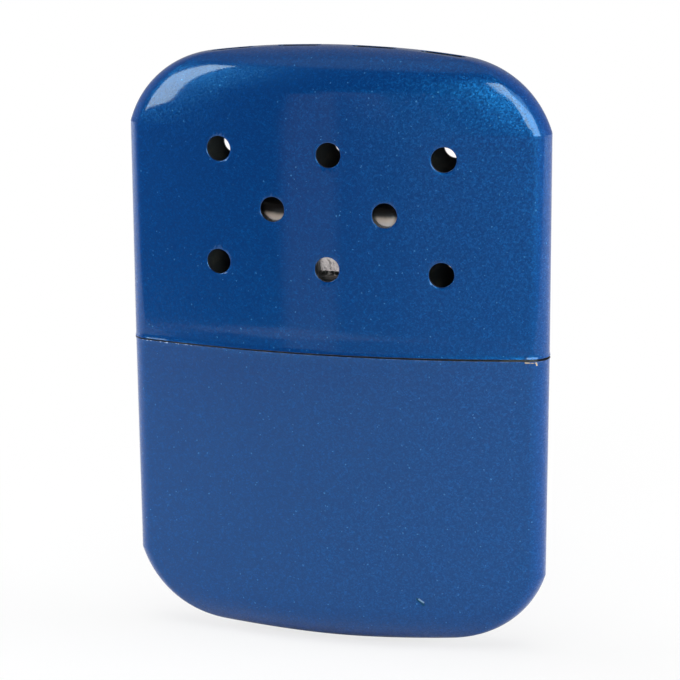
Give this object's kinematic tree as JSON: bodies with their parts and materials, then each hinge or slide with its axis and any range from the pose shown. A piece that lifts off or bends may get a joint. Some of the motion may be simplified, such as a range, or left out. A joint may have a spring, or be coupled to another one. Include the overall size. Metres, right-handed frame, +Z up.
{
  "type": "catalytic hand warmer",
  "caption": "Slim pocket hand warmer: drawn-steel fuel tank, vented slip-on lid, and a lift-off catalytic burner on an oval filler neck.",
  "frame": {"origin": "lowest point of the tank's domed end, in the middle of its width and thickness", "axes": "+Z up from tank to lid along the longest side, +X along the width, +Y from the front face to the back face"},
  "size_m": [0.0704, 0.0142, 0.1],
  "materials": {
    "painted_shell": "metallic blue lacquer under a clear coat",
    "collar_plate": "bright nickel-chrome plating",
    "neck_steel": "plated steel, soldered",
    "burner_plate": "bright plating, slightly heat tinted",
    "retainer_steel": "plain punched sheet",
    "catalyst_fibre": "grey glass-fibre wool coated with platinum",
    "fuel_cotton": "loose bleached cotton"
  },
  "bodies": {
    "tank": {"tank_shell": "painted_shell", "collar_deck": "collar_plate", "filler_neck": "neck_steel", "cotton_bottom": "fuel_cotton", "cotton_middle": "fuel_cotton", "cotton_top": "fuel_cotton"},
    "burner": {"burner_sleeve": "burner_plate", "burner_grille": "burner_plate", "mat_retainer": "retainer_steel", "catalyst_mat": "catalyst_fibre"},
    "lid": {"lid_shell": "painted_shell"}
  },
  "joints": [
    {"name": "lid_lift", "type": "slide", "parent": "tank", "child": "lid", "axis": [0, 0, 1], "range_m": [0, 0.045]},
    {"name": "burner_lift", "type": "slide", "parent": "tank", "child": "burner", "axis": [0, 0, 1], "range_m": [0, 0.012]}
  ]
}
